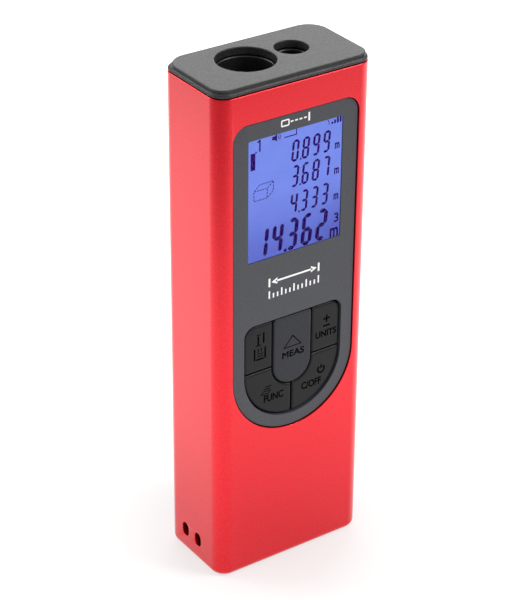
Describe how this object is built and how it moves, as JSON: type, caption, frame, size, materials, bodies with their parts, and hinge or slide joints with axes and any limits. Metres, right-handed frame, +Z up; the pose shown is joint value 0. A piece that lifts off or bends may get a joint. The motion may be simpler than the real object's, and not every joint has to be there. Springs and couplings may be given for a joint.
{
  "type": "laser distance meter",
  "caption": "Slim handheld laser distance meter: aluminium housing, lit display, press-in keys, optics in a top cap, lanyard slots and a lift-off rear battery door.",
  "frame": {"origin": "middle of the flat base the instrument stands on", "axes": "+Z up to the optics, +X to the instrument's right as its front is read, the front faces -Y"},
  "size_m": [0.0384, 0.021, 0.1173],
  "materials": {
    "anodised_red": "satin, fine-grained red anodised",
    "cap_plastic": "fine textured dark grey",
    "panel_plastic": "smooth matte dark grey with white print",
    "clear_window": "clear moulded acrylic",
    "display_glass": "lit blue display with dark segments",
    "light_guide": "translucent white",
    "black_plastic": "matte black",
    "grey_rubber": "matte",
    "key_rubber": "matte dark silicone",
    "circuit_board": "green solder mask",
    "chip_black": "matte black",
    "tinned_metal": "tinned",
    "spring_steel": "plated steel",
    "cell_wrap": "printed foil wrap, unlabelled",
    "optical_glass": "coated lens glass",
    "flex_film": "polyimide film",
    "brass": "turned brass"
  },
  "bodies": {
    "root": {"battery_left": "cell_wrap", "battery_right": "cell_wrap", "battery_spring_lower": "spring_steel", "battery_spring_upper": "spring_steel", "board_screw_lower_left": "spring_steel", "board_screw_lower_right": "spring_steel", "board_screw_upper_left": "spring_steel", "board_screw_upper_right": "spring_steel", "buzzer": "black_plastic", "chassis": "black_plastic", "collimator_lens": "optical_glass", "contact_bridge": "tinned_metal", "contact_negative": "tinned_metal", "contact_positive": "tinned_metal", "controller_chip": "chip_black", "crystal": "tinned_metal", "display_window": "clear_window", "dome_clear_off": "spring_steel", "dome_function": "spring_steel", "dome_measure": "spring_steel", "dome_reference": "spring_steel", "dome_units": "spring_steel", "front_carrier": "black_plastic", "front_panel": "panel_plastic", "housing": "anodised_red", "keypad_mat": "key_rubber", "laser_barrel": "brass", "laser_diode": "brass", "laser_flex": "flex_film", "lcd_backlight": "light_guide", "lcd_glass": "display_glass", "lens_ring": "black_plastic", "main_board": "circuit_board", "memory_chip": "chip_black", "optics_block": "black_plastic", "optics_screw_left": "spring_steel", "optics_screw_right": "spring_steel", "photodiode": "tinned_metal", "receiver_board": "circuit_board", "receiver_flex": "flex_film", "receiver_lens": "optical_glass", "shield_can": "tinned_metal", "top_cap": "cap_plastic", "zebra_strip": "grey_rubber"},
    "key_clear_off_cap": {"key_clear_off": "key_rubber"},
    "key_function_cap": {"key_function": "key_rubber"},
    "key_measure_cap": {"key_measure": "key_rubber"},
    "key_reference_cap": {"key_reference": "key_rubber"},
    "key_units_cap": {"key_units": "key_rubber"},
    "door": {"battery_door": "cap_plastic"}
  },
  "joints": [
    {"name": "key_clear_off_press", "type": "slide", "parent": "root", "child": "key_clear_off_cap", "axis": [0, 1, 0], "range_m": [0, 0.0005], "stiffness_N_per_m": 1200},
    {"name": "key_function_press", "type": "slide", "parent": "root", "child": "key_function_cap", "axis": [0, 1, 0], "range_m": [0, 0.0005], "stiffness_N_per_m": 1200},
    {"name": "key_measure_press", "type": "slide", "parent": "root", "child": "key_measure_cap", "axis": [0, 1, 0], "range_m": [0, 0.0005], "stiffness_N_per_m": 1200},
    {"name": "key_reference_press", "type": "slide", "parent": "root", "child": "key_reference_cap", "axis": [0, 1, 0], "range_m": [0, 0.0005], "stiffness_N_per_m": 1200},
    {"name": "key_units_press", "type": "slide", "parent": "root", "child": "key_units_cap", "axis": [0, 1, 0], "range_m": [0, 0.0005], "stiffness_N_per_m": 1200},
    {"name": "battery_door_lift", "type": "slide", "parent": "root", "child": "door", "axis": [0, 1, 0], "range_m": [0, 0.012]}
  ]
}
